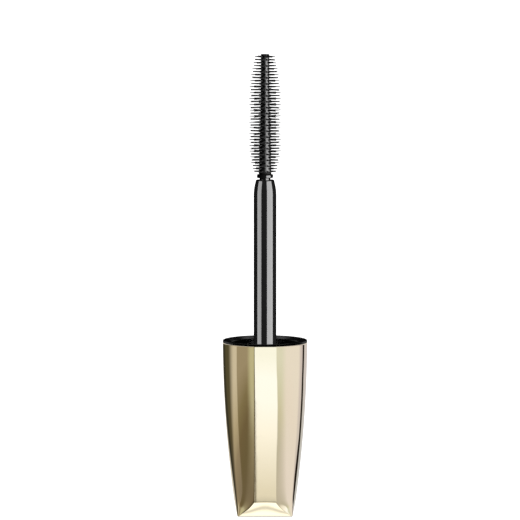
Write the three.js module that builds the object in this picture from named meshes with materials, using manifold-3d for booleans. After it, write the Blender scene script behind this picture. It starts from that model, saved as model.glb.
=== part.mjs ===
// Mascara closure: gold over-cap, threaded inner cap, stem and moulded brush.
// Millimetres, +Z up. The origin is the centre of the cap's square closed end,
// on which the closure stands with its brush pointing up.
import * as THREE from "three";
import { mergeVertices } from "three/addons/utils/BufferGeometryUtils.js";
import Module from "manifold-3d";

const wasm = await Module();
wasm.setup();

// Over-cap, outside
const SHELL_HEIGHT = 36.8;
const MOUTH_HALF = 9.0;            // centre to each of the four flats, at the mouth
const FLAT_HALF = 2.3;             // half the width of a flat
const BASE_HALF = 5.87;            // half the side of the square closed end
const BEVEL_HEIGHT = 3.25;         // where each flat turns into its base bevel
const SIDE_TAPER = 0.00594;        // slope of a flat at the mouth
const SIDE_CURVE = 0.001957;       // how fast that slope grows away from the mouth, per mm
const CORNER_SHARPNESS = 1.6;      // how much more a corner is pulled out at the base than at the mouth
const CORNER_POWER = 2.2;          // how late towards the base that happens
const FOOT_SHARPNESS = 3.6;        // how much more again in the bevel's last millimetre or two
const FOOT_POWER = 45;
const FOOT_FLARE = 0.23;           // how far the corners' crossing turns outwards there
const FLARE_POWER = 20;

// Over-cap, inside
const BORE_MOUTH_RADIUS = 8.15;
const BORE_END_RADIUS = 7.75;
const SHOULDER_Z = 24.2;           // the inner cap sits here
const CAVITY_TOP_RADIUS = 7.3;
const CAVITY_END_RADIUS = 5.2;
const END_WALL = 1.5;
const SHELL_RIBS = 6;
const SHELL_RIB_THICKNESS = 0.8;
const SHELL_RIB_DEPTH = 1.5;

// Inner cap
const COLLAR_RADIUS = 9.0;
const COLLAR_HEIGHT = 0.5;
const COLLAR_EDGE = 0.15;
const LEAD_IN = 0.6;               // chamfer at the mouth's inner edge
const RECESS_RADIUS = 7.3;
const RECESS_DEPTH = 4.7;
const THREAD_ROOT_RADIUS = 6.6;
const THREAD_CREST_RADIUS = 5.95;
const THREAD_PITCH = 2.8;
const THREAD_TURNS = 1.75;
const THREAD_START_Z = 26.9;
const THREAD_ROOT_WIDTH = 1.5;
const THREAD_CREST_WIDTH = 0.6;
const THREAD_RUNOUT = 0.15;        // share of its length that fades at each end
const SKIRT_TOP_RADIUS = 7.9;
const SKIRT_END_RADIUS = 7.5;
const SKIRT_RIBS = 12;
const SKIRT_RIB_HEIGHT = 0.18;     // how far a grip rib stands off the skirt
const SKIRT_RIB_THICKNESS = 0.7;
const PLATE_THICKNESS = 1.2;
const LAND_INNER_RADIUS = 4.2;
const LAND_OUTER_RADIUS = 5.2;
const LAND_HEIGHT = 0.5;
const BOSS_RADIUS = 3.6;
const BOSS_END_Z = 17.9;
const BOSS_END_WALL = 1.0;
const SOCKET_CLEARANCE = 0.05;

// Stem
const STEM_RADIUS = 2.42;
const STEM_START_Z = 19.0;
const STEM_NOSE_Z = 68.2;          // where the tip starts to narrow
const STEM_END_Z = 71.6;
const STEM_NOSE_ARC = 10.9;        // radius of the arc that narrows the tip
const STEM_EDGE = 0.2;
const SNAP_Z = 21.65;
const SNAP_HEIGHT = 0.26;
const SNAP_HALF = 0.45;

// Brush pin
const SHANK_RADIUS = 1.14;
const SHANK_START_Z = 63.0;
const SHANK_CLEARANCE = 0.06;
const GROOVE_DEPTH = 0.14;
const BEAD_RADIUS = 1.73;
const BEAD_START_Z = 72.0;
const BEAD_END_Z = 72.78;
const PIN_BASE_RADIUS = 0.8;
const PIN_TIP_RADIUS = 0.5;
const PIN_END_Z = 97.6;

// Bristle sleeve
const BRUSH_END_Z = 98.4;
const SLEEVE_TIP_RADIUS = 0.9;
const SLEEVE_SWELL = 0.0007;       // growth of the radius with the square of the way down
const SLEEVE_CLEARANCE = 0.03;
const RINGS = 40;
const BRISTLES_PER_RING = 8;
const FIRST_RING_Z = 97.87;
const RING_PITCH = 0.643;          // at the tip
const PITCH_CLOSING = 0.00083;     // how much less each gap between rings is than the one above it
const BRUSH_RADIUS = 3.39;
const TIP_ROUNDING = { narrowing: 1.19, length: 8.2, power: 1.6 };
const BASE_ROUNDING = { narrowing: 0.87, length: 4.5, power: 1.5 };
const BRISTLE_ROOT_RADIUS = 0.17;
const BRISTLE_TIP_RADIUS = 0.07;
const BRISTLE_SIDES = 3;
const BRISTLE_SINK = 0.15;         // how far a bristle's root is sunk in the sleeve

// Facets
const CORNER_STEPS = 10;
const SHELL_ROWS = 10;
const BEVEL_ROWS = 5;
const HALVINGS = 40;
const WIDE_SEGMENTS = 48;
const STEM_SEGMENTS = 32;
const PIN_SEGMENTS = 20;
const SLEEVE_SEGMENTS = 16;
const THREAD_STEPS_PER_TURN = 24;
const WELD = 1e-4;

const QUARTER = Math.PI / 2;
const MOUTH_RADIUS = Math.hypot(FLAT_HALF, MOUTH_HALF);
const MOUTH_CORNER = MOUTH_RADIUS ** 2 / (FLAT_HALF + MOUTH_HALF);

// ---------------------------------------------------------------- solids

function bufferGeometry(positions, index) {
  const geometry = new THREE.BufferGeometry();
  geometry.setAttribute("position", new THREE.Float32BufferAttribute(positions, 3));
  geometry.setIndex(index);
  return geometry;
}

function toSolid(geometry) {
  const bare = geometry.clone();
  bare.deleteAttribute("normal");
  bare.deleteAttribute("uv");
  const merged = mergeVertices(bare, WELD);
  const triangles = [];
  for (let i = 0; i < merged.index.count; i += 3) {
    const corners = [0, 1, 2].map((k) => merged.index.getX(i + k));
    if (new Set(corners).size === 3) triangles.push(...corners);
  }
  return new wasm.Manifold(new wasm.Mesh({
    numProp: 3,
    vertProperties: new Float32Array(merged.attributes.position.array),
    triVerts: new Uint32Array(triangles),
  }));
}

function toGeometry(solid) {
  const mesh = solid.getMesh();
  const geometry = bufferGeometry(Array.from(mesh.vertProperties), Array.from(mesh.triVerts));
  geometry.computeVertexNormals();
  return geometry;
}

// Turns a profile of [radius, height] points about Z. Its outside runs upwards.
function turned(profile, segments) {
  const points = profile.map(([radius, height]) => new THREE.Vector2(radius, height));
  return new THREE.LatheGeometry(points, segments).rotateX(QUARTER);
}

// A fin in a plane through Z: an outline of [radius, height] points, given a
// thickness and turned to an angle.
function fin(outline, thickness, angle) {
  const shape = new THREE.Shape(outline.map(([radius, height]) => new THREE.Vector2(radius, height)));
  const geometry = new THREE.ExtrudeGeometry(shape, { depth: thickness, bevelEnabled: false });
  return geometry.translate(0, 0, -thickness / 2).rotateX(QUARTER).rotateZ(angle);
}

function around(count, make) {
  return Array.from({ length: count }, (_, i) => make((i / count) * 2 * Math.PI));
}

// ---------------------------------------------------------------- over-cap

// Centre to flat at a height: a slow arc, widest at the mouth.
function sideHalf(z) {
  const down = SHELL_HEIGHT - z;
  return MOUTH_HALF - SIDE_TAPER * down - SIDE_CURVE * down * down;
}

// Where the lines of two flanks cross, on either axis.
function cornerHalf(z) {
  const down = (SHELL_HEIGHT - z) / SHELL_HEIGHT;
  return MOUTH_CORNER - (MOUTH_CORNER - BASE_HALF) * down * down + FOOT_FLARE * down ** FLARE_POWER;
}

// How hard the corner curve is pulled towards that crossing. At the mouth the
// weight makes the curve an arc of the mouth's circle, and more makes it sharper.
function cornerWeight(z) {
  const down = (SHELL_HEIGHT - z) / SHELL_HEIGHT;
  const circle = Math.cos(Math.PI / 4 - Math.atan2(FLAT_HALF, MOUTH_HALF));
  return circle + CORNER_SHARPNESS * down ** CORNER_POWER + FOOT_SHARPNESS * down ** FOOT_POWER;
}

// A point of the corner curve at a height: a conic from the end of one flat, at
// t = 0, to the start of the next, at t = 1.
function cornerPoint(z, t) {
  const [side, corner] = [sideHalf(z), cornerHalf(z)];
  const [start, middle, end] = [(1 - t) ** 2, 2 * t * (1 - t) * cornerWeight(z), t * t];
  const sum = start + middle + end;
  const x = (start * side + middle * corner + end * FLAT_HALF) / sum;
  const y = (start * FLAT_HALF + middle * corner + end * side) / sum;
  return [x, y];
}

// Centre to bevel at a height. The four bevels are flat faces that run from the
// bottom of each flat to the square closed end.
function bevelHalf(z) {
  return THREE.MathUtils.lerp(BASE_HALF, sideHalf(BEVEL_HEIGHT), z / BEVEL_HEIGHT);
}

// Where along the corner curve the bevel stops cutting it, by halving.
function bevelEnd(z) {
  if (z >= BEVEL_HEIGHT) return 0;
  let [cut, clear] = [0, 0.5];
  for (let i = 0; i < HALVINGS; i += 1) {
    const t = (cut + clear) / 2;
    if (cornerPoint(z, t)[0] > bevelHalf(z)) cut = t;
    else clear = t;
  }
  return clear;
}

// One quarter of the cap's outline at a height, anticlockwise: the end of one
// flat or bevel, the corner curve, and the start of the next flat or bevel.
function quarterOutline(z) {
  const first = bevelEnd(z);
  return Array.from({ length: CORNER_STEPS + 1 }, (_, i) =>
    cornerPoint(z, THREE.MathUtils.lerp(first, 1 - first, i / CORNER_STEPS)));
}

function outline(z) {
  const quarter = quarterOutline(z);
  return [
    ...quarter,
    ...quarter.map(([x, y]) => [-y, x]),
    ...quarter.map(([x, y]) => [-x, -y]),
    ...quarter.map(([x, y]) => [y, -x]),
  ];
}

// The outside of the over-cap: outlines at rising heights, joined, with both ends closed.
function shellOutside() {
  const heights = [];
  for (let i = 0; i < BEVEL_ROWS; i += 1) heights.push((BEVEL_HEIGHT * i) / BEVEL_ROWS);
  for (let i = 0; i <= SHELL_ROWS; i += 1) {
    heights.push(BEVEL_HEIGHT + ((SHELL_HEIGHT - BEVEL_HEIGHT) * i) / SHELL_ROWS);
  }
  const rings = heights.map(outline);
  const count = rings[0].length;
  const positions = rings.flatMap((ring, row) => ring.flatMap(([x, y]) => [x, y, heights[row]]));
  const bottom = positions.length / 3;
  positions.push(0, 0, 0, 0, 0, SHELL_HEIGHT);
  const top = bottom + 1;
  const lastRow = (rings.length - 1) * count;
  const index = [];
  for (let i = 0; i < count; i += 1) {
    const next = (i + 1) % count;
    for (let row = 0; row < lastRow; row += count) {
      index.push(row + i, row + next, row + count + next);
      index.push(row + i, row + count + next, row + count + i);
    }
    index.push(bottom, next, i);
    index.push(top, lastRow + i, lastRow + next);
  }
  return bufferGeometry(positions, index);
}

function capShell() {
  const past = 1;
  const hollow = turned([
    [0, END_WALL],
    [CAVITY_END_RADIUS, END_WALL],
    [CAVITY_TOP_RADIUS, SHOULDER_Z],
    [BORE_END_RADIUS, SHOULDER_Z],
    [BORE_MOUTH_RADIUS, SHELL_HEIGHT],
    [BORE_MOUTH_RADIUS, SHELL_HEIGHT + past],
    [0, SHELL_HEIGHT + past],
  ], WIDE_SEGMENTS);
  const sunk = 0.3;
  const ribOutline = [
    [CAVITY_END_RADIUS - SHELL_RIB_DEPTH, END_WALL - sunk],
    [CAVITY_END_RADIUS + sunk, END_WALL - sunk],
    [CAVITY_TOP_RADIUS + sunk, SHOULDER_Z],
    [CAVITY_TOP_RADIUS - SHELL_RIB_DEPTH, SHOULDER_Z],
  ];
  let solid = toSolid(shellOutside()).subtract(toSolid(hollow));
  around(SHELL_RIBS, (angle) => {
    solid = solid.add(toSolid(fin(ribOutline, SHELL_RIB_THICKNESS, angle)));
  });
  return toGeometry(solid);
}

// ---------------------------------------------------------------- inner cap

// The screw thread: a trapezoid carried round a helix inside the bore, sunk a
// little into the wall, and fading into it at both ends.
function threadRidge() {
  const steps = Math.round(THREAD_STEPS_PER_TURN * THREAD_TURNS);
  const sunk = 0.25;
  const height = THREAD_ROOT_RADIUS - THREAD_CREST_RADIUS;
  const positions = [];
  for (let i = 0; i <= steps; i += 1) {
    const along = i / steps;
    const fade = Math.min(1, along / THREAD_RUNOUT, (1 - along) / THREAD_RUNOUT);
    const angle = along * THREAD_TURNS * 2 * Math.PI;
    const z = THREAD_START_Z + along * THREAD_TURNS * THREAD_PITCH;
    const crest = THREAD_ROOT_RADIUS + sunk / 2 - (height + sunk / 2) * fade;
    const root = THREAD_ROOT_RADIUS + sunk;
    const corners = [
      [root, z - THREAD_ROOT_WIDTH / 2],
      [root, z + THREAD_ROOT_WIDTH / 2],
      [crest, z + THREAD_CREST_WIDTH / 2],
      [crest, z - THREAD_CREST_WIDTH / 2],
    ];
    for (const [r, h] of corners) positions.push(r * Math.cos(angle), r * Math.sin(angle), h);
  }
  const index = [];
  for (let i = 0; i < steps; i += 1) {
    for (let k = 0; k < 4; k += 1) {
      const [a, b] = [i * 4 + k, i * 4 + ((k + 1) % 4)];
      index.push(a, a + 4, b + 4, a, b + 4, b);
    }
  }
  const last = steps * 4;
  index.push(0, 1, 2, 0, 2, 3);
  index.push(last, last + 2, last + 1, last, last + 3, last + 2);
  return bufferGeometry(positions, index);
}

function innerCap() {
  const top = SHELL_HEIGHT + COLLAR_HEIGHT;
  const recessEnd = top - RECESS_DEPTH;
  const step = RECESS_RADIUS - THREAD_ROOT_RADIUS;
  const plateTop = SHOULDER_Z + PLATE_THICKNESS;
  const socket = STEM_RADIUS + SOCKET_CLEARANCE;
  const groove = STEM_RADIUS + SNAP_HEIGHT + 2 * SOCKET_CLEARANCE;
  const socketMouth = 0.4;
  const slant = 0.15;
  const body = turned([
    [0, BOSS_END_Z],
    [BOSS_RADIUS - slant, BOSS_END_Z],
    [BOSS_RADIUS, BOSS_END_Z + slant],
    [BOSS_RADIUS, SHOULDER_Z],
    [SKIRT_END_RADIUS, SHOULDER_Z],
    [SKIRT_TOP_RADIUS, SHELL_HEIGHT],
    [COLLAR_RADIUS, SHELL_HEIGHT],
    [COLLAR_RADIUS, top - COLLAR_EDGE],
    [COLLAR_RADIUS - COLLAR_EDGE, top],
    [RECESS_RADIUS + LEAD_IN, top],
    [RECESS_RADIUS, top - LEAD_IN],
    [RECESS_RADIUS, recessEnd],
    [THREAD_ROOT_RADIUS, recessEnd - step],
    [THREAD_ROOT_RADIUS, plateTop],
    [LAND_OUTER_RADIUS, plateTop],
    [LAND_OUTER_RADIUS - slant, plateTop + LAND_HEIGHT],
    [LAND_INNER_RADIUS + slant, plateTop + LAND_HEIGHT],
    [LAND_INNER_RADIUS, plateTop],
    [socket + socketMouth, plateTop],
    [socket, plateTop - socketMouth],
    [socket, SNAP_Z + SNAP_HALF + slant],
    [groove, SNAP_Z + SNAP_HALF],
    [groove, SNAP_Z - SNAP_HALF],
    [socket, SNAP_Z - SNAP_HALF - slant],
    [socket, BOSS_END_Z + BOSS_END_WALL],
    [0, BOSS_END_Z + BOSS_END_WALL],
  ], WIDE_SEGMENTS);
  const sunk = 0.3;
  const foot = 0.4;
  const ribOutline = [
    [SKIRT_END_RADIUS - sunk, SHOULDER_Z + foot],
    [SKIRT_END_RADIUS + SKIRT_RIB_HEIGHT, SHOULDER_Z + foot],
    [SKIRT_TOP_RADIUS + SKIRT_RIB_HEIGHT, SHELL_HEIGHT],
    [SKIRT_TOP_RADIUS - sunk, SHELL_HEIGHT],
  ];
  let solid = toSolid(body).add(toSolid(threadRidge()));
  around(SKIRT_RIBS, (angle) => {
    solid = solid.add(toSolid(fin(ribOutline, SKIRT_RIB_THICKNESS, angle)));
  });
  return toGeometry(solid);
}

// ---------------------------------------------------------------- stem

function wandStem() {
  const noseSteps = 5;
  const noseLength = STEM_END_Z - STEM_EDGE - STEM_NOSE_Z;
  const nose = [];
  for (let i = 0; i <= noseSteps; i += 1) {
    const up = (noseLength * i) / noseSteps;
    nose.push([STEM_RADIUS - up * up / (2 * STEM_NOSE_ARC), STEM_NOSE_Z + up]);
  }
  const noseRadius = nose[noseSteps][0];
  const socket = SHANK_RADIUS + SHANK_CLEARANCE;
  const snapFlat = SNAP_HALF - SNAP_HEIGHT;
  const endEdge = 0.35;
  return turned([
    [0, STEM_START_Z],
    [STEM_RADIUS - endEdge, STEM_START_Z],
    [STEM_RADIUS, STEM_START_Z + endEdge],
    [STEM_RADIUS, SNAP_Z - SNAP_HALF],
    [STEM_RADIUS + SNAP_HEIGHT, SNAP_Z - snapFlat],
    [STEM_RADIUS + SNAP_HEIGHT, SNAP_Z + snapFlat],
    [STEM_RADIUS, SNAP_Z + SNAP_HALF],
    ...nose,
    [noseRadius - STEM_EDGE, STEM_END_Z],
    [socket, STEM_END_Z],
    [socket, SHANK_START_Z - SHANK_CLEARANCE],
    [0, SHANK_START_Z - SHANK_CLEARANCE],
  ], STEM_SEGMENTS);
}

// ---------------------------------------------------------------- brush

function brushCore() {
  const edge = 0.18;
  const grooveStarts = [65.2, 67.4, 69.6];
  const grooveLength = 0.5;
  const slant = 0.1;
  const grooves = grooveStarts.flatMap((z) => [
    [SHANK_RADIUS, z],
    [SHANK_RADIUS - GROOVE_DEPTH, z + slant],
    [SHANK_RADIUS - GROOVE_DEPTH, z + grooveLength - slant],
    [SHANK_RADIUS, z + grooveLength],
  ]);
  return turned([
    [0, SHANK_START_Z],
    [SHANK_RADIUS - edge, SHANK_START_Z],
    [SHANK_RADIUS, SHANK_START_Z + edge],
    ...grooves,
    [SHANK_RADIUS, BEAD_START_Z],
    [BEAD_RADIUS - edge, BEAD_START_Z],
    [BEAD_RADIUS, BEAD_START_Z + edge],
    [BEAD_RADIUS, BEAD_END_Z - edge],
    [BEAD_RADIUS - edge, BEAD_END_Z],
    [PIN_BASE_RADIUS, BEAD_END_Z],
    [PIN_TIP_RADIUS, PIN_END_Z - edge],
    [PIN_TIP_RADIUS - edge, PIN_END_Z],
    [0, PIN_END_Z],
  ], PIN_SEGMENTS);
}

function sleeveRadius(z) {
  const down = BRUSH_END_Z - z;
  return SLEEVE_TIP_RADIUS + SLEEVE_SWELL * down * down;
}

// The height of a ring, counted down from the tip.
function ringHeight(ring) {
  return FIRST_RING_Z - ring * RING_PITCH + (PITCH_CLOSING * ring * (ring - 1)) / 2;
}

// How far a bristle reaches at a height: full in the middle, rounded off to both ends.
function bristleReach(z) {
  const lastZ = ringHeight(RINGS - 1);
  const narrowing = (rounding, distance) =>
    rounding.narrowing * Math.max(0, 1 - distance / rounding.length) ** rounding.power;
  return BRUSH_RADIUS - narrowing(TIP_ROUNDING, FIRST_RING_Z - z) - narrowing(BASE_ROUNDING, z - lastZ);
}

function bristle(z, angle) {
  const root = sleeveRadius(z) - BRISTLE_SINK;
  const length = bristleReach(z) - root;
  const shape = new THREE.CylinderGeometry(
    BRISTLE_TIP_RADIUS, BRISTLE_ROOT_RADIUS, length, BRISTLE_SIDES);
  return shape.rotateZ(-QUARTER).translate(root + length / 2, 0, 0).rotateZ(angle).translate(0, 0, z);
}

function bristleSleeve() {
  const rows = 6;
  const start = BEAD_END_Z;
  const outside = [];
  for (let i = 0; i <= rows; i += 1) {
    const z = start + ((BRUSH_END_Z - start) * i) / rows;
    outside.push([sleeveRadius(z), z]);
  }
  const boreEnd = PIN_END_Z + SLEEVE_CLEARANCE;
  let solid = toSolid(turned([
    [PIN_BASE_RADIUS + SLEEVE_CLEARANCE, start],
    ...outside,
    [0, BRUSH_END_Z],
    [0, boreEnd],
    [PIN_TIP_RADIUS + SLEEVE_CLEARANCE, boreEnd],
    [PIN_BASE_RADIUS + SLEEVE_CLEARANCE, start],
  ], SLEEVE_SEGMENTS));
  for (let ring = 0; ring < RINGS; ring += 1) {
    const z = ringHeight(ring);
    const stagger = (ring % 2) * (Math.PI / BRISTLES_PER_RING);
    around(BRISTLES_PER_RING, (angle) => {
      solid = solid.add(toSolid(bristle(z, angle + stagger)));
    });
  }
  return toGeometry(solid);
}

// ---------------------------------------------------------------- assembly

const goldMetallised = new THREE.MeshStandardMaterial({ color: 0xd8c89c, roughness: 0.12, metalness: 1 });
const blackPolypropylene = new THREE.MeshStandardMaterial({ color: 0x161514, roughness: 0.4, metalness: 0 });
const blackGloss = new THREE.MeshStandardMaterial({ color: 0x141414, roughness: 0.15, metalness: 0 });
const blackElastomer = new THREE.MeshStandardMaterial({ color: 0x1b1a1a, roughness: 0.45, metalness: 0 });

function piece(name, geometry, material) {
  const mesh = new THREE.Mesh(geometry, material);
  mesh.name = name;
  return mesh;
}

const group = new THREE.Group();
group.add(piece("cap_shell", capShell(), goldMetallised));
group.add(piece("inner_cap", innerCap(), blackPolypropylene));
group.add(piece("wand_stem", wandStem(), blackGloss));
group.add(piece("brush_core", brushCore(), blackGloss));
group.add(piece("bristle_sleeve", bristleSleeve(), blackElastomer));

export default group;
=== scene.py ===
"""A mascara closure stood on its closed end: a metallised gold cap, its black threaded inner
cap, the glossy stem and the moulded brush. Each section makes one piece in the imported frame."""

import math

import bpy
import numpy as np
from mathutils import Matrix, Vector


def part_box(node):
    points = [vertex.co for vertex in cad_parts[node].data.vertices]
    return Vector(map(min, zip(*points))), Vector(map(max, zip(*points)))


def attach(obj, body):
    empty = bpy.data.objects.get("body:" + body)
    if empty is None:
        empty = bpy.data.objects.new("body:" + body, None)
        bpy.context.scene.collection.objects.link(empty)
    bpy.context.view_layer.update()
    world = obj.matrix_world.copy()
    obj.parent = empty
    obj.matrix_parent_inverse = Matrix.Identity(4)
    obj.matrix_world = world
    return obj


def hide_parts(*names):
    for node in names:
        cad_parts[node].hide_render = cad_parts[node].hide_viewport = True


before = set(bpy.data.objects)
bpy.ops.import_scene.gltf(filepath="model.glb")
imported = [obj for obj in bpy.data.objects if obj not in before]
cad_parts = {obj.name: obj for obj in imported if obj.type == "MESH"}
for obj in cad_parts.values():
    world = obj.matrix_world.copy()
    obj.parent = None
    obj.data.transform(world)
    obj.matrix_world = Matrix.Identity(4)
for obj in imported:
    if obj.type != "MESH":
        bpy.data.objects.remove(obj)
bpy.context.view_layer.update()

MM = 0.001

# ---------------------------------------------------------------------------------------
# Studio. A pale floor under a white room, seen through a long lens a little above the
# object. The floor has its own soft light, so that it stays as pale as the room behind.

shell_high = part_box("cap_shell")[1]
MOUTH_Z = shell_high.z


def linear(colour):
    """An sRGB hex colour such as '#808080' as linear red, green, blue and alpha."""
    srgb = [int(colour[i:i + 2], 16) / 255 for i in (1, 3, 5)]
    return [c / 12.92 if c <= 0.04045 else ((c + 0.055) / 1.055) ** 2.4 for c in srgb] + [1.0]


def new_material(name):
    """An empty node material, with its tree and its output node."""
    material = bpy.data.materials.new(name)
    material.use_nodes = True
    material.node_tree.nodes.clear()
    output = material.node_tree.nodes.new("ShaderNodeOutputMaterial")
    return material, material.node_tree, output


def add(tree, kind, inputs=None, **settings):
    """Adds a node. inputs maps a socket to a value, or to another node's output socket."""
    node = tree.nodes.new(kind)
    for name, value in settings.items():
        setattr(node, name, value)
    for socket, value in (inputs or {}).items():
        if isinstance(value, bpy.types.NodeSocket):
            tree.links.new(value, node.inputs[socket])
        else:
            node.inputs[socket].default_value = value
    return node


def new_object(name, points, faces, smooth=True):
    """A mesh object at the origin, from points in metres and lists of corner numbers."""
    mesh = bpy.data.meshes.new(name)
    mesh.from_pydata(np.asarray(points, float).tolist(), [], [list(f) for f in faces])
    mesh.polygons.foreach_set("use_smooth", [smooth] * len(mesh.polygons))
    mesh.update()
    thing = bpy.data.objects.new(name, mesh)
    bpy.context.scene.collection.objects.link(thing)
    return thing


FLOOR_HALF = 12.0
floor = new_object(
    "studio_floor",
    [(-FLOOR_HALF, -FLOOR_HALF, 0), (FLOOR_HALF, -FLOOR_HALF, 0),
     (FLOOR_HALF, FLOOR_HALF, 0), (-FLOOR_HALF, FLOOR_HALF, 0)],
    [(0, 1, 2, 3)],
)
floor_paint, tree, output = new_material("matt_white_floor")
matt = add(tree, "ShaderNodeBsdfDiffuse", {"Color": linear("#F7F7F7")})
tree.links.new(matt.outputs[0], output.inputs["Surface"])
floor.data.materials.append(floor_paint)
floor.visible_glossy = False
floor.visible_diffuse = False


def lit_only(light, *things):
    """Links a light, or a glowing card, to the things that it lights."""
    group = bpy.data.collections.new(light.name + "_lights")
    for thing in things:
        group.objects.link(thing)
    light.light_linking.receiver_collection = group


SUN_STRENGTH, SUN_ANGLE = 4.4, 60
floor_sun = bpy.data.objects.new("floor_sun", bpy.data.lights.new("floor_sun", "SUN"))
floor_sun.data.energy = SUN_STRENGTH
floor_sun.data.angle = math.radians(SUN_ANGLE)
floor_sun.data.use_shadow = False
bpy.context.scene.collection.objects.link(floor_sun)
lit_only(floor_sun, floor)

world = bpy.data.worlds.new("white_room")
bpy.context.scene.world = world
world.use_nodes = True
world.node_tree.nodes.clear()
ROOM_FILL = 0.10
seen = add(world.node_tree, "ShaderNodeBackground", {"Color": linear("#FFFFFF"), "Strength": 1.0})
fill = add(world.node_tree, "ShaderNodeBackground", {"Color": linear("#FFFFFF"), "Strength": ROOM_FILL})
rays = add(world.node_tree, "ShaderNodeLightPath")
room = add(world.node_tree, "ShaderNodeMixShader",
           {0: rays.outputs["Is Camera Ray"], 1: fill.outputs[0], 2: seen.outputs[0]})
add(world.node_tree, "ShaderNodeOutputWorld", {"Surface": room.outputs[0]})

CAMERA_DISTANCE = 1.2
CAMERA_ELEVATION = math.radians(5.7)
VIEW_WIDTH = 0.1109  # at the object
AIM = (-0.00107, 0.0, 0.05443)
camera = bpy.data.objects.new("camera", bpy.data.cameras.new("camera"))
bpy.context.scene.collection.objects.link(camera)
camera.data.sensor_width = 36.0
camera.data.lens = camera.data.sensor_width * CAMERA_DISTANCE / VIEW_WIDTH
camera.data.clip_end = 40.0
camera.location = (
    AIM[0],
    AIM[1] - CAMERA_DISTANCE * math.cos(CAMERA_ELEVATION),
    AIM[2] + CAMERA_DISTANCE * math.sin(CAMERA_ELEVATION),
)
camera.rotation_euler = (math.pi / 2 - CAMERA_ELEVATION, 0, 0)
bpy.context.scene.camera = camera
bpy.context.scene.view_settings.view_transform = "Standard"


# ---------------------------------------------------------------------------------------
# Over-cap. Injection-moulded ABS, vacuum-coated with aluminium under a clear lacquer tinted
# champagne gold. Round at the mouth and square at the closed end, with a flat on each side
# that ends in a small bevel. Six ribs inside carry the inner cap.

HALF_MOUTH = shell_high.x
FLAT_HALF = 2.3 * MM
BASE_HALF = 5.87 * MM
BEVEL_HEIGHT = 3.25 * MM
SIDE_TAPER = 0.00594
SIDE_CURVE = 0.001957 / MM
CORNER_SHARPNESS, CORNER_POWER = 1.6, 2.2
FOOT_SHARPNESS, FOOT_POWER = 3.6, 45
FOOT_FLARE, FLARE_POWER = 0.23 * MM, 20
EDGE = 0.15 * MM
FLAT_BOW = 0.03 * MM
FLAT_PLACES = np.array([0, 0.2, 0.4, 0.6, 0.8, 0.97])  # of its half width, from the middle out
BEVEL_BOW = 0.02 * MM
CURVE_SAMPLES, CORNER_POINTS, EDGE_POINTS = 2001, 36, 6


def grid_faces(rows, columns, closed=True, first=0):
    """Quads that join rows of points, each a ring when closed, with the outside on the right
    when the rings run anticlockwise and the rows rise."""
    row, column = np.meshgrid(np.arange(rows - 1), np.arange(columns if closed else columns - 1),
                              indexing="ij")
    following = (column + 1) % columns
    corners = [row * columns + column, row * columns + following,
               (row + 1) * columns + following, (row + 1) * columns + column]
    return (np.stack(corners, -1).reshape(-1, 4) + first).tolist()


def shell_side(z):
    """Centre to flat: a slow arc, widest at the mouth."""
    down = MOUTH_Z - z
    return HALF_MOUTH - SIDE_TAPER * down - SIDE_CURVE * down ** 2


def bevel_side(z):
    """Centre to bevel: a straight line from the bottom of the flat to the closed end, bowed out
    a little, as a moulded face is."""
    along = z / BEVEL_HEIGHT
    top = shell_side(BEVEL_HEIGHT)
    return BASE_HALF + (top - BASE_HALF) * along + BEVEL_BOW * 4 * along * (1 - along)


def corner_curve(z, t):
    """Points of the corner at height z: a conic from one flat, at t = 0, to the next, at t = 1.
    Its tangents cross at (corner, corner), and the weight says how hard it is pulled there."""
    down = (MOUTH_Z - z) / MOUTH_Z
    side = shell_side(z)
    mouth_corner = (FLAT_HALF ** 2 + HALF_MOUTH ** 2) / (FLAT_HALF + HALF_MOUTH)
    corner = mouth_corner - (mouth_corner - BASE_HALF) * down ** 2 + FOOT_FLARE * down ** FLARE_POWER
    circle = math.cos(math.pi / 4 - math.atan2(FLAT_HALF, HALF_MOUTH))
    weight = circle + CORNER_SHARPNESS * down ** CORNER_POWER + FOOT_SHARPNESS * down ** FOOT_POWER
    start, middle, end = (1 - t) ** 2, 2 * t * (1 - t) * weight, t ** 2
    total = start + middle + end
    return np.stack([(start * side + middle * corner + end * FLAT_HALF) / total,
                     (start * FLAT_HALF + middle * corner + end * side) / total], -1)


def shell_ring(z, inset):
    """The outline at height z, inset a little: on each side a flat or a bevel, slightly bowed,
    and on each corner the part of its curve that the bevels leave. The edge between them is
    rounded over the length EDGE by a parabola."""
    t = np.linspace(0, 0.5, CURVE_SAMPLES)
    curve = corner_curve(z, t)
    side = shell_side(z)
    first = 0.0
    if z < BEVEL_HEIGHT:
        side = min(side, bevel_side(z))
        first = t[np.argmax(curve[:, 0] <= side)]
    edge = corner_curve(z, first)
    walked = np.cumsum(np.linalg.norm(np.diff(curve, axis=0), axis=1))
    past = np.interp(np.interp(first, t[1:], walked) + EDGE, walked, t[1:])
    past = min(past, 0.45 + 0.05 * first)
    corner = corner_curve(z, np.linspace(past, 1 - past, CORNER_POINTS))
    before = np.array([side, edge[1] - EDGE])
    blend = np.linspace(0, 1, EDGE_POINTS)[:-1, None]
    nominal = np.array([side, edge[1]])
    rounded = (1 - blend) ** 2 * before + 2 * blend * (1 - blend) * nominal + blend ** 2 * corner[0]
    bow = FLAT_BOW * (1 - FLAT_PLACES ** 2)
    flat = np.column_stack([side + bow, FLAT_PLACES * before[1]])
    half = np.concatenate([flat, rounded])
    quarter = np.concatenate([half, corner, half[:0:-1, ::-1]])
    ring = np.concatenate([quarter, quarter[:, ::-1] * (-1, 1), -quarter, quarter[:, ::-1] * (1, -1)])
    length = np.linalg.norm(ring, axis=1, keepdims=True)
    return np.column_stack([ring * (1 - inset / length), np.full(len(ring), z)])


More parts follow.
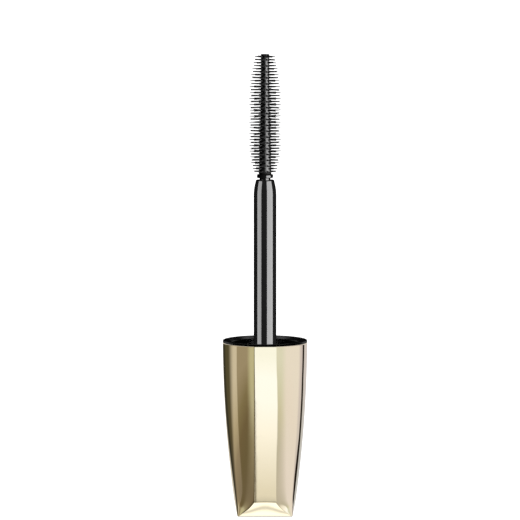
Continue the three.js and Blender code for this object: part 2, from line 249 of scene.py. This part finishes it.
def plain_ring(radius, z, ring):
    """A circle at height z, with a point at the bearing of each point of another ring."""
    bearing = np.arctan2(ring[:, 1], ring[:, 0])
    return np.column_stack([radius * np.cos(bearing), radius * np.sin(bearing),
                            np.full(len(ring), z)])


def round_over(radius, steps=4):
    """(inset, drop) pairs round a quarter circle, from a side face on to an end face."""
    turn = np.linspace(0, math.pi / 2, steps + 1)
    return list(zip(radius * (1 - np.cos(turn)), radius * (1 - np.sin(turn))))


def closed_solid(name, rings):
    """Joins rings of equal counts into one closed surface, with a pole at each end."""
    count = len(rings[0])
    points = np.concatenate(rings + [rings[0].mean(0)[None], rings[-1].mean(0)[None]])
    faces = grid_faces(len(rings), count)
    first_pole, last_pole = len(points) - 2, len(points) - 1
    last_row = (len(rings) - 1) * count
    for i in range(count):
        following = (i + 1) % count
        faces.append((first_pole, following, i))
        faces.append((last_pole, last_row + i, last_row + following))
    return new_object(name, points, faces)


SHOULDER_Z = 24.2 * MM
END_WALL = 1.5 * MM
BORE_MOUTH, BORE_END = 8.15 * MM, 7.75 * MM
CAVITY_TOP, CAVITY_END = 7.3 * MM, 5.2 * MM
SHELL_RIBS, RIB_HALF, RIB_DEPTH, RIB_RAMP = 6, 0.4 * MM, 1.5 * MM, 0.2 * MM
HOLD = 1.6 * EDGE


def cavity_ring(z, ring):
    """The cavity's wall at height z, with its ribs standing in towards the axis."""
    radius = CAVITY_END + (CAVITY_TOP - CAVITY_END) * (z - END_WALL) / (SHOULDER_Z - END_WALL)
    bearing = np.arctan2(ring[:, 1], ring[:, 0])
    from_rib = np.abs(np.sin(bearing * SHELL_RIBS / 2)) * 2 / SHELL_RIBS * radius
    rib = np.clip((RIB_HALF + RIB_RAMP - from_rib) / RIB_RAMP, 0, 1)
    return plain_ring(radius - RIB_DEPTH * rib, z, ring)


crease = BEVEL_HEIGHT + EDGE * np.array([-1.6, -1.0, 0.0, 1.0, 1.6])
heights = np.concatenate([np.linspace(HOLD, crease[0], 16)[:-1], crease,
                          np.linspace(crease[-1], MOUTH_Z - HOLD, 40)[1:]])
rings = [shell_ring(0, HOLD)]
rings += [shell_ring(drop, inset) for inset, drop in round_over(EDGE)[::-1]]
rings += [shell_ring(z, 0) for z in heights]
rings += [shell_ring(MOUTH_Z - drop, inset) for inset, drop in round_over(EDGE)]
rings.append(shell_ring(MOUTH_Z, HOLD))
outer = rings[-1]
rings += [plain_ring(radius, z, outer) for radius, z in (
    (BORE_MOUTH + EDGE, MOUTH_Z), (BORE_MOUTH, MOUTH_Z - EDGE), (BORE_END, SHOULDER_Z + EDGE),
    (BORE_END, SHOULDER_Z), (CAVITY_TOP, SHOULDER_Z))]
rings += [cavity_ring(z, outer) for z in np.linspace(SHOULDER_Z - 0.01 * MM, END_WALL + EDGE, 6)]
rings += [plain_ring(CAVITY_END, END_WALL, outer), plain_ring(CAVITY_END - EDGE, END_WALL, outer)]
cap = closed_solid("gold_cap", rings)


def grain(tree, size, low, high, detail=2.0, stretch=1.0):
    """Soft noise between two values, in grains of a size in metres, stretched along the part."""
    where = add(tree, "ShaderNodeTexCoord")
    squeezed = add(tree, "ShaderNodeVectorMath",
                   {0: where.outputs["Object"], 1: (1, 1, 1 / stretch)}, operation="MULTIPLY")
    noise = add(tree, "ShaderNodeTexNoise",
                {"Vector": squeezed.outputs[0], "Scale": 1 / size, "Detail": detail})
    spread = add(tree, "ShaderNodeMapRange", {"Value": noise.outputs[0], "From Min": 0.3,
                                              "From Max": 0.7, "To Min": low, "To Max": high})
    return spread.outputs[0]


# The coating is mirror-bright, with the slight orange peel of a sprayed lacquer: waves about
# 2 mm long and half a micron high, and a haze that comes and goes with them.
PEEL_SIZE, PEEL_HEIGHT = 2.0 * MM, 0.0005 * MM
lacquer, tree, output = new_material("vacuum_metallised_abs_champagne")
wave = add(tree, "ShaderNodeBump", {"Height": grain(tree, PEEL_SIZE, 0, 1, detail=1.0),
                                    "Strength": 1.0, "Distance": PEEL_HEIGHT})
gold = add(tree, "ShaderNodeBsdfPrincipled",
           {"Base Color": linear("#F3E7C8"), "Metallic": 1.0,
            "Roughness": grain(tree, PEEL_SIZE, 0.02, 0.05), "Normal": wave.outputs[0],
            "Coat Weight": 0.5, "Coat Roughness": 0.03})
tree.links.new(gold.outputs[0], output.inputs["Surface"])
cap.data.materials.append(lacquer)
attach(cap, "root")
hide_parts("cap_shell")

# Light tent, seen only in the gold. A mirror takes its looks from what stands round it: here
# upright cards, each from its own bearing on to the next one's, from behind round by the left,
# the front and the right. The cards lean, and their light falls off towards the table, so both
# the bearing and the colour of a card are given at five levels, from the lowest to the highest.
TENT_RADIUS = 3.0
TENT_LEVELS = (-22.5, -16, -12.5, -10, -7.5)
BACK = ("#8E887E", "#A09A90", "#B5B0A8", "#B5B0A8", "#B5B0A8")
CARDS = (
    # bearing of the left edge at each level, blur of that edge, colour at each level
    ((-180, -180, -180, -180, -180), 1, BACK),
    # black cloth, then a charcoal card
    ((-152, -152, -152, -152, -152), 10, ("#2A2820", "#2C2A22", "#2C2A22", "#2C2A22", "#2A2920")),
    ((-134, -134, -134, -134, -134), 18, ("#4A463C", "#4A463C", "#48423A", "#474131", "#45412F")),
    # warm card, and a dim card in front of it whose near edge is lit
    ((-130, -106, -118, -109, -104), 26, ("#6A6155", "#736A5D", "#7F7465", "#9A917F", "#B0AAA0")),
    ((-20, -51, -66, -75, -81), 2, ("#5E5446", "#5B523D", "#5F543F", "#6D644C", "#877E6D")),
    ((-19, -29, -35, -41, -44), 14, ("#685E50", "#857F6C", "#A09E8C", "#A2A189", "#A4A38B")),
    # gap, then the bright card straight ahead and its shaded side
    ((-13, -16, -18, -20, -21), 3, ("#4A4334", "#4A4334", "#4E4836", "#524C38", "#625F4C")),
    ((-2.9, -3.0, -3.1, -3.6, -6), 0.4, ("#C7C5C0", "#E0E2E9", "#E2E9F7", "#E3EAF9", "#DCE3EB")),
    ((12, 25.5, 30, 30.5, 27), 3, ("#9D9A94", "#A6A59F", "#B2B2A6", "#B8BCB3", "#BFC3BF")),
    # long pale screen, and its shaded end
    ((19, 35, 44, 48, 52), 20, ("#C3BFC7", "#C8C4CC", "#C8C5CB", "#C9C5CA", "#CAC8CD")),
    ((98, 98, 100, 105, 107), 14, ("#B2ADB6", "#B2ADB6", "#B2ADB6", "#B6B3BA", "#B0ABB6")),
    # gap, a narrow pale card, and the back again
    ((112, 112, 112, 124.5, 119.5), 3, ("#17110A", "#17110A", "#17110A", "#17110A", "#17110A")),
    ((146, 146, 146, 139.5, 129), 3, ("#A8A7AC", "#A8A7AC", "#A8A7AC", "#A8AAAF", "#B2AFB9")),
    ((165, 165, 165, 165, 165), 12, BACK),
)
TENT_STRENGTH = 1.5
# Painted shade in the tent's reflection of the table: a dim band at its edge, a faint dark stripe
# across its top, and the cap's shade at its own foot.
LEDGE_LEVEL, LEDGE_BLUR, LEDGE_DIM = -23.6, 1.2, 0.5
TABLE_LEVEL, TABLE_BLUR = -29.0, 1.5
STRIPE_LEVEL, STRIPE_HALF, STRIPE_DIM = -32.7, 0.9, 0.5
FOOT_LEVEL, FOOT_BLUR, FOOT_DIM = -39.0, 5.0, 0.35
TABLE_GAIN, AHEAD_SPREAD = 1.1, 40
BEARINGS, LEVELS = 1441, 361


def step(value, edge, blur):
    """A smooth rise from 0 to 1 about an edge, of a width given by blur."""
    x = np.clip((value - edge) / blur + 0.5, 0, 1)
    return x * x * (3 - 2 * x)


def tent_light(bearing, level):
    """Light from the tent on a grid: each card covers the one before it from its edge on. Below
    the cards comes a painted reflection of the table: painted shade that dims its edge, its
    bright top with one faint painted stripe, and painted shade where the cap shades its own foot."""
    light = np.zeros(bearing.shape + (3,))
    for edges, blur, colours in CARDS:
        shown = step(bearing, np.interp(level, TENT_LEVELS, edges), blur)[..., None]
        shades = np.array([linear(colour)[:3] for colour in colours])
        card = np.stack([np.interp(level, TENT_LEVELS, shade) for shade in shades.T], -1)
        light = light * (1 - shown) + card * shown
    # Below the cards the tent is a painted reflection of the table, with painted shade at its edge, a
    # painted dark stripe and painted shade at the cap's foot.
    light = light * (1 - (1 - LEDGE_DIM) * step(-level, -LEDGE_LEVEL, LEDGE_BLUR))[..., None]
    ahead = np.exp(-(bearing / AHEAD_SPREAD) ** 2)[..., None]
    painted_stripe = 1 - (1 - STRIPE_DIM) * np.exp(-((level - STRIPE_LEVEL) / STRIPE_HALF) ** 2)
    painted_foot_shade = 1 - (1 - FOOT_DIM) * step(-level, -FOOT_LEVEL, FOOT_BLUR)
    top = (light * TABLE_GAIN * (1 - ahead) + ahead) * (painted_stripe * painted_foot_shade)[..., None]
    table = step(-level, -TABLE_LEVEL, TABLE_BLUR)[..., None]
    return light * (1 - table) + top * table


bearing, level = np.meshgrid(np.linspace(-180, 180, BEARINGS), np.linspace(-90, 90, LEVELS))
across, up = np.radians(bearing), np.radians(level)
points = TENT_RADIUS * np.stack([np.sin(across) * np.cos(up), -np.cos(across) * np.cos(up),
                                 np.sin(up)], -1)
tent = new_object("light_tent", points.reshape(-1, 3), grid_faces(LEVELS, BEARINGS, closed=False))
light = np.concatenate([tent_light(bearing, level), np.ones(bearing.shape + (1,))], -1)
paint = tent.data.color_attributes.new("light", "FLOAT_COLOR", "POINT")
paint.data.foreach_set("color", light.astype(np.float32).ravel())
cards, tree, output = new_material("glowing_cards")
shade = add(tree, "ShaderNodeAttribute", attribute_name="light")
glow = add(tree, "ShaderNodeEmission", {"Color": shade.outputs["Color"], "Strength": TENT_STRENGTH})
tree.links.new(glow.outputs[0], output.inputs["Surface"])
tent.data.materials.append(cards)
for ray in ("camera", "diffuse", "transmission", "volume_scatter", "shadow"):
    setattr(tent, "visible_" + ray, False)
lit_only(tent, cap)


# ---------------------------------------------------------------------------------------
# Inner cap. Black polypropylene, moulded in one shot: the thin collar that shows at the
# mouth, a recess, the screw thread, a sealing land and a blind boss that grips the stem.
# It is pressed into the shell on the ribs of its skirt.

FILLET_POINTS = 5


def rounded_outline(corners):
    """A profile of (radius, height, fillet) corners in millimetres, in metres. Each fillet is
    a parabola between the two sides, with a point just before and after it so that flat
    faces stay flat in the light."""
    points = []
    for i, (radius, height, fillet) in enumerate(corners):
        here = np.array([radius, height])
        if not fillet:
            points.append(here)
            continue
        before = np.array(corners[i - 1][:2]) - here
        after = np.array(corners[i + 1][:2]) - here
        start = here + before / np.linalg.norm(before) * fillet
        end = here + after / np.linalg.norm(after) * fillet
        t = np.linspace(0, 1, FILLET_POINTS)[:, None]
        points.append(here + 1.4 * (start - here))
        points += list((1 - t) ** 2 * start + 2 * t * (1 - t) * here + t ** 2 * end)
        points.append(here + 1.4 * (end - here))
    return np.array(points) * MM


def revolved(name, outline, segments, push=None):
    """Turns an outline that starts and ends on the axis. push(bearing, radius, height), where
    it is given, moves points out from the axis."""
    turn = np.linspace(0, 2 * math.pi, segments, endpoint=False)
    radius, bearing = np.meshgrid(outline[1:-1, 0], turn, indexing="ij")
    height = np.repeat(outline[1:-1, 1:], segments, 1)
    if push:
        radius = radius + push(bearing, radius, height)
    points = np.stack([radius * np.cos(bearing), radius * np.sin(bearing), height], -1)
    points = np.concatenate([points.reshape(-1, 3), [(0, 0, outline[0, 1]), (0, 0, outline[-1, 1])]])
    rows = len(outline) - 2
    faces = grid_faces(rows, segments)
    first_pole, last_pole = len(points) - 2, len(points) - 1
    last_row = (rows - 1) * segments
    for i in range(segments):
        following = (i + 1) % segments
        faces.append((first_pole, following, i))
        faces.append((last_pole, last_row + i, last_row + following))
    return new_object(name, points, faces)


LEDGE = MOUTH_Z / MM
TOP = LEDGE + 0.5
RECESS_RADIUS, RECESS_END = 7.3, TOP - 4.7
THREAD_ROOT, THREAD_CREST = 6.6, 5.95
THREAD_PITCH, THREAD_TURNS, THREAD_START = 2.8, 1.75, 26.9
THREAD_HALF, THREAD_FLANK, THREAD_RUNOUT = 0.75, 0.45, 0.12
PLATE_TOP = 25.4
SOCKET = 2.47
GROOVE = 2.78
SKIRT_RIBS, SKIRT_RIB_HEIGHT = 12, 0.18


def inner_cap_push(bearing, radius, height):
    """The screw thread stands inwards from the bore, a trapezoid on a helix that fades at both
    ends. The grip ribs stand out from the skirt."""
    r, z = radius / MM, height / MM
    wall = (np.abs(r - THREAD_ROOT) < 0.01) & (z > PLATE_TOP + 0.05) & (z < RECESS_END - 0.7)
    push = np.zeros_like(r)
    for turn in (0, 1):
        along = (bearing / (2 * math.pi) + turn) / THREAD_TURNS
        centre = THREAD_START + along * THREAD_TURNS * THREAD_PITCH
        fade = np.clip(np.minimum(along, 1 - along) / THREAD_RUNOUT, 0, 1)
        ridge = np.clip((THREAD_HALF - np.abs(z - centre)) / THREAD_FLANK, 0, 1)
        push = np.maximum(push, ridge * fade)
    ribs = np.clip(1.3 - np.abs(np.sin(bearing * SKIRT_RIBS / 2)) / 0.24, 0, 1)
    skirt = (r > 7.45) & (r < 7.95) & (z < LEDGE - 0.05) & (z > 24.35)
    return (np.where(wall, -(THREAD_ROOT - THREAD_CREST) * push, 0)
            + np.where(skirt, SKIRT_RIB_HEIGHT * ribs, 0)) * MM


bore = [(THREAD_ROOT, z, 0) for z in np.arange(RECESS_END - 0.72, PLATE_TOP + 0.06, -0.12)]
skirt = [(7.5 + 0.4 * s, 24.4 + (LEDGE - 24.5) * s, 0) for s in np.linspace(0, 1, 8)]
inner_outline = rounded_outline([
    (0, 17.9, 0), (3.6, 17.9, 0.15), (3.6, 24.2, 0.1), (7.5, 24.2, 0.1), *skirt,
    (7.9, LEDGE, 0), (9.0, LEDGE, 0.05), (9.0, TOP, 0.14), (7.9, TOP, 0.08),
    (RECESS_RADIUS, TOP - 0.6, 0.12), (RECESS_RADIUS, RECESS_END, 0.1),
    (THREAD_ROOT, RECESS_END - 0.7, 0), *bore,
    (THREAD_ROOT, PLATE_TOP, 0.04), (5.2, PLATE_TOP, 0.08), (5.05, 25.9, 0.08), (4.35, 25.9, 0.08),
    (4.2, PLATE_TOP, 0.08), (2.87, PLATE_TOP, 0.08), (SOCKET, 25.0, 0.08),
    (SOCKET, 22.25, 0.05), (GROOVE, 22.1, 0.05), (GROOVE, 21.2, 0.05), (SOCKET, 21.05, 0.05),
    (SOCKET, 18.9, 0.1), (0, 18.9, 0),
])
inner_cap = revolved("threaded_inner_cap", inner_outline, 192, inner_cap_push)

# Satin: the mould's fine spark-eroded grain, about 0.08 mm across, under a faint cloudiness.
SATIN_GRAIN, SATIN_HEIGHT, CLOUD = 0.08 * MM, 0.002 * MM, 1.5 * MM
polypropylene, tree, output = new_material("moulded_black_polypropylene")
pits = add(tree, "ShaderNodeBump", {"Height": grain(tree, SATIN_GRAIN, 0, 1),
                                    "Strength": 1.0, "Distance": SATIN_HEIGHT})
plastic = add(tree, "ShaderNodeBsdfPrincipled",
              {"Base Color": linear("#171717"), "Roughness": grain(tree, CLOUD, 0.24, 0.34),
               "IOR": 1.49, "Normal": pits.outputs[0]})
tree.links.new(plastic.outputs[0], output.inputs["Surface"])
inner_cap.data.materials.append(polypropylene)
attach(inner_cap, "root")
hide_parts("inner_cap")


# ---------------------------------------------------------------------------------------
# Stem. A rod of black polypropylene, moulded to a high gloss: a snap bead at the end that is
# pushed into the inner cap, and a narrowed tip with a socket for the brush.

NOSE_Z, STEM_END, NOSE_ARC = 68.2, 71.6, 10.9
rise = np.linspace(0, STEM_END - 0.2 - NOSE_Z, 10)
nose = [(2.42 - up ** 2 / (2 * NOSE_ARC), NOSE_Z + up, 0) for up in rise]
stem_outline = rounded_outline([
    (0, 19.0, 0), (2.07, 19.0, 0.1), (2.42, 19.35, 0.1), (2.42, 21.2, 0.08), (2.68, 21.46, 0.08),
    (2.68, 21.84, 0.08), (2.42, 22.1, 0.08), *nose[:-1],
    (nose[-1][0] - 0.02, STEM_END, 0.17), (1.2, STEM_END, 0.06), (1.2, 62.94, 0.05), (0, 62.94, 0),
])
stem = revolved("glossy_stem", stem_outline, 128)

# Polished: the melt's flow lines, long and shallow along the rod, barely move the highlights.
FLOW_WIDTH, FLOW_STRETCH, FLOW_HEIGHT = 0.9 * MM, 14, 0.0004 * MM
gloss, tree, output = new_material("polished_black_polypropylene")
flow = add(tree, "ShaderNodeBump",
           {"Height": grain(tree, FLOW_WIDTH, 0, 1, stretch=FLOW_STRETCH),
            "Strength": 1.0, "Distance": FLOW_HEIGHT})
plastic = add(tree, "ShaderNodeBsdfPrincipled",
              {"Base Color": linear("#0E0E0E"), "Roughness": grain(tree, CLOUD, 0.06, 0.08),
               "IOR": 1.49, "Normal": flow.outputs[0]})
tree.links.new(plastic.outputs[0], output.inputs["Surface"])
stem.data.materials.append(gloss)
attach(stem, "root")
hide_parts("wand_stem")


# ---------------------------------------------------------------------------------------
# Brush pin. The brush's rigid core: a grooved shank pressed into the stem, a short neck, the
# bead that stops it, and the thin pin that the soft sleeve is moulded over.

BEAD_START, BEAD_END, PIN_END = 72.0, 72.78, 97.6
grooves = [(1.14 - dip, z + along, 0.03) for z in (65.2, 67.4, 69.6)
           for dip, along in ((0, 0), (0.14, 0.1), (0.14, 0.4), (0, 0.5))]
pin_outline = rounded_outline([
    (0, 63.0, 0), (0.96, 63.0, 0.05), (1.14, 63.18, 0.05), *grooves,
    (1.14, BEAD_START, 0.05), (1.73, BEAD_START, 0.24), (1.73, BEAD_END, 0.24),
    (0.8, BEAD_END, 0.03), (0.5, PIN_END - 0.18, 0.05), (0.32, PIN_END, 0.05), (0, PIN_END, 0),
])
pin = revolved("brush_pin", pin_outline, 96)
pin.data.materials.append(gloss)
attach(pin, "root")
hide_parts("brush_core")


# ---------------------------------------------------------------------------------------
# Bristle sleeve. Black thermoplastic elastomer, moulded over the pin with its bristles: forty
# rings of eight soft tapered spikes, every other ring turned by half a step.

RINGS, PER_RING, FIRST_RING = 40, 8, 97.87
RING_PITCH, PITCH_CLOSING = 0.643, 0.00083
BRUSH_RADIUS = 3.39
SLEEVE_TIP, SLEEVE_SWELL, BRUSH_END = 0.9, 0.0007, 98.4
SPIKE_ROOT, SPIKE_TIP = 0.2, 0.085
SPIKE_SIDES, SPIKE_SUNK, SPIKE_TAPER = 7, 0.12, 1.15
SPIKE_PLACES = np.array([0, 0.07, 0.16, 0.4, 0.7, 0.93, 0.985, 1.0])  # along a bristle
TIP_ROUNDING = (0.75, 0.3)
FLARE, FLARE_LENGTH = 0.03, 0.05
LENGTH_SPREAD, LEAN_SPREAD = 0.008, 0.02


def sleeve_radius(z):
    """The sleeve widens with the square of the distance down from its tip."""
    return SLEEVE_TIP + SLEEVE_SWELL * (BRUSH_END - z) ** 2


def ring_height(ring):
    """The rings stand a little closer together towards the stem."""
    return FIRST_RING - ring * RING_PITCH + PITCH_CLOSING * ring * (ring - 1) / 2


def reach(z):
    """How far a bristle reaches: full in the middle, and rounded off towards both ends."""
    last = ring_height(RINGS - 1)
    tip = 1.19 * np.maximum(0, 1 - (FIRST_RING - z) / 8.2) ** 1.6
    base = 0.87 * np.maximum(0, 1 - (z - last) / 4.5) ** 1.5
    return BRUSH_RADIUS - tip - base


def spikes():
    """All bristles as one array: each is a tapered tube with a flared root and a round tip. It
    stands out from the sleeve and curves aside and up or down a little by its own amount."""
    chance = np.random.default_rng(11)
    ring = np.repeat(np.arange(RINGS), PER_RING)
    place = np.tile(np.arange(PER_RING), RINGS)
    count = len(ring)
    z = ring_height(ring)
    bearing = (place + 0.5 * (ring % 2)) * 2 * math.pi / PER_RING
    root = sleeve_radius(z) - SPIKE_SUNK
    length = (reach(z) - root) * (1 + chance.normal(0, LENGTH_SPREAD, count))
    length = np.minimum(length, BRUSH_RADIUS - root)
    lean = chance.normal(0, LEAN_SPREAD, (2, count)) * length
    thick = (SPIKE_TIP + (SPIKE_ROOT - SPIKE_TIP) * (1 - SPIKE_PLACES) ** SPIKE_TAPER
             + FLARE * np.exp(-SPIKE_PLACES / FLARE_LENGTH))
    thick[-2:] *= TIP_ROUNDING
    turn = np.arange(SPIKE_SIDES) * 2 * math.pi / SPIKE_SIDES
    s = SPIKE_PLACES[None, :, None]
    out = root[:, None, None] + length[:, None, None] * s + 0 * turn
    side = lean[0][:, None, None] * s ** 2 + thick[None, :, None] * np.cos(turn)
    high = z[:, None, None] + lean[1][:, None, None] * s ** 2 + thick[None, :, None] * np.sin(turn)
    cos, sin = np.cos(bearing)[:, None, None], np.sin(bearing)[:, None, None]
    points = np.stack([out * cos - side * sin, out * sin + side * cos, high], -1) * MM
    rows = len(SPIKE_PLACES)
    faces = []
    for i in range(count):
        first = i * rows * SPIKE_SIDES
        faces += grid_faces(rows, SPIKE_SIDES, first=first)
        faces.append(tuple(range(first, first + SPIKE_SIDES))[::-1])
        last = first + (rows - 1) * SPIKE_SIDES
        faces.append(tuple(range(last, last + SPIKE_SIDES)))
    return points.reshape(-1, 3), faces


swell = [(sleeve_radius(z), z, 0) for z in np.linspace(BEAD_END, BRUSH_END - 0.12, 30)]
sleeve_outline = rounded_outline([
    *swell, (SLEEVE_TIP - 0.01, BRUSH_END, 0.1), (0, BRUSH_END, 0)])
inner = rounded_outline([(0, PIN_END + 0.03, 0), (0.35, PIN_END + 0.03, 0), (0.53, PIN_END - 0.18, 0),
                         (0.83, BEAD_END, 0)])
sleeve = revolved("bristle_sleeve_skin", np.concatenate([inner, sleeve_outline]), 64)
spike_points, spike_faces = spikes()
bristles = new_object("bristles", spike_points, spike_faces)

# Elastomer: satin and slightly uneven, as soft mouldings are.
SKIN_GRAIN, SKIN_HEIGHT = 0.12 * MM, 0.003 * MM
elastomer, tree, output = new_material("moulded_black_elastomer")
skin = add(tree, "ShaderNodeBump", {"Height": grain(tree, SKIN_GRAIN, 0, 1),
                                    "Strength": 1.0, "Distance": SKIN_HEIGHT})
soft = add(tree, "ShaderNodeBsdfPrincipled",
           {"Base Color": linear("#0E0E0E"), "Roughness": grain(tree, CLOUD, 0.34, 0.44),
            "IOR": 1.5, "Normal": skin.outputs[0]})
tree.links.new(soft.outputs[0], output.inputs["Surface"])
for part in (sleeve, bristles):
    part.data.materials.append(elastomer)
    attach(part, "root")
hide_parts("bristle_sleeve")

# ---------------------------------------------------------------------------------------
# Lamps for the black pieces. Two tall softboxes give the stem its two long highlights, and only
# the brush shades them. The others catch the collar's rim and the brush's tip. The cap and the
# inner cap stay out of mirror reflections, so the highlights run on into the mouth.

SOFTBOX_DISTANCE, SOFTBOX_HEIGHT = 0.35, 0.055


def softbox(name, bearing, level, width, height, radiance, lit, blockers):
    """A rectangular area light of a given radiance that faces the middle of the stem. It lights
    only the things in lit, and only the things in blockers shade it."""
    light = bpy.data.objects.new(name, bpy.data.lights.new(name, "AREA"))
    bpy.context.scene.collection.objects.link(light)
    light.data.shape = "RECTANGLE"
    light.data.size, light.data.size_y = width, height
    light.data.energy = radiance * math.pi * width * height
    across, up = math.radians(bearing), math.radians(level)
    light.location = (SOFTBOX_DISTANCE * math.sin(across) * math.cos(up),
                      -SOFTBOX_DISTANCE * math.cos(across) * math.cos(up),
                      SOFTBOX_HEIGHT + SOFTBOX_DISTANCE * math.sin(up))
    light.rotation_euler = (math.pi / 2 - up, 0, across)
    light.visible_camera = False
    lit_only(light, *lit)
    group = bpy.data.collections.new(name + "_blockers")
    for thing in blockers:
        group.objects.link(thing)
    light.light_linking.blocker_collection = group


brush = (pin, sleeve, bristles)
for around in (cap, inner_cap):
    around.visible_glossy = False
softbox("left_softbox", -61.0, 0, 0.29, 0.36, 8.4, (stem,), brush)
softbox("right_softbox", 52.3, 0, 0.435, 0.36, 11.0, (stem, *brush), brush)
softbox("top_softbox", 180, 76, 0.46, 0.18, 1.5, (inner_cap, sleeve), (inner_cap,))
softbox("left_rim", -122, 0, 0.3, 0.3, 0.4, (inner_cap,), (inner_cap,))
softbox("right_rim", 134, 0, 0.2, 0.3, 0.45, (inner_cap,), (inner_cap,))
softbox("back_softbox", 180, 5, 0.3, 0.14, 1.0, (sleeve,), (sleeve,))
